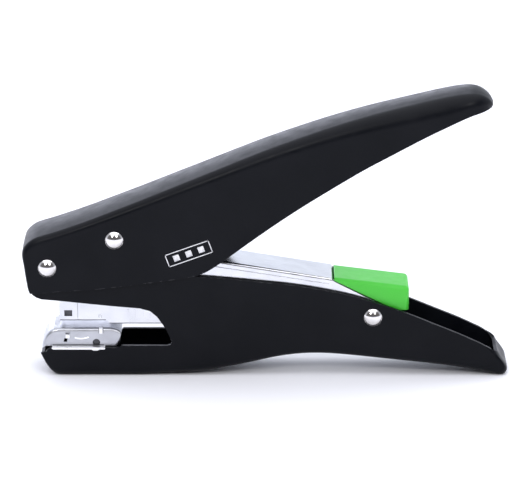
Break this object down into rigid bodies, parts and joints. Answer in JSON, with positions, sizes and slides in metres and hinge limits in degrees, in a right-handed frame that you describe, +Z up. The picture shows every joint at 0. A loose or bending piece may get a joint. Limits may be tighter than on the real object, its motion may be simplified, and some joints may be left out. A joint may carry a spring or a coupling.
{
  "type": "plier stapler",
  "caption": "Hand-held plier stapler: black pressed-steel handles hinged at the nose, nickel driver lever, magazine and anvil, green pull-out loader cap.",
  "frame": {"origin": "middle of the footprint, on the surface that the closed stapler stands on", "axes": "+X along the length from the nose to the grips, +Y across it, +Z up through the handles"},
  "size_m": [0.172, 0.0256, 0.1033],
  "materials": {
    "black_enamel": "satin black stove enamel",
    "nickel": "bright nickel plate",
    "steel": "bright spring steel",
    "green_plastic": "moulded light green"
  },
  "bodies": {
    "lower_arm": {"lower_handle": "black_enamel", "anvil": "nickel", "anvil_plate": "steel", "anvil_pin": "nickel", "rear_rivet": "nickel", "pivot_washers": "steel", "lift_spring": "steel"},
    "upper_arm": {"upper_handle": "black_enamel", "front_rivet": "nickel", "drive_rivet": "nickel", "drive_roller": "steel", "drive_washers": "steel"},
    "lever": {"driver_lever": "nickel"},
    "magazine": {"magazine_channel": "nickel", "nose_plate": "nickel", "staple_cover": "nickel", "cover_rivets": "nickel", "return_spring": "steel", "latch_spring": "steel"},
    "driver": {"driver_blade": "steel"},
    "loader": {"pull_cap": "green_plastic", "guide_rod": "steel", "rod_clip": "steel"},
    "follower": {"pusher": "steel", "spring_washer": "steel", "pusher_spring": "steel"}
  },
  "joints": [
    {"name": "handle_squeeze", "type": "hinge", "parent": "lower_arm", "child": "upper_arm", "pos_m": [-0.0772, 0, 0.0409], "axis": [0, 1, 0], "range_deg": [0, 22], "stiffness_Nm_per_rad": 0.6, "springref_deg": -57.3, "deforming": ["return_spring"]},
    {"name": "lever_swing", "type": "hinge", "parent": "lower_arm", "child": "lever", "pos_m": [0.0375, 0, 0.022], "axis": [0, 1, 0], "range_deg": [-5.85, 0]},
    {"name": "magazine_swing", "type": "hinge", "parent": "lower_arm", "child": "magazine", "pos_m": [0.0375, 0, 0.022], "axis": [0, 1, 0], "range_deg": [-1.1, 0], "deforming": ["lift_spring"]},
    {"name": "driver_drop", "type": "slide", "parent": "magazine", "child": "driver", "axis": [0, 0, -1], "range_m": [0, 0.0093]},
    {"name": "loader_pull", "type": "slide", "parent": "magazine", "child": "loader", "axis": [1, 0, 0], "range_m": [0, 0.085]},
    {"name": "pusher_feed", "type": "slide", "parent": "loader", "child": "follower", "axis": [1, 0, 0], "range_m": [0, 0.055], "stiffness_N_per_m": 30, "springref_m": -0.03, "deforming": ["pusher_spring"]}
  ],
  "couplings": [
    {"joint": "lever_swing", "follows": "handle_squeeze", "ratio": -0.26364},
    {"joint": "magazine_swing", "follows": "handle_squeeze", "ratio": -0.04735},
    {"joint": "driver_drop", "follows": "handle_squeeze", "m_per_rad": 0.02388}
  ]
}
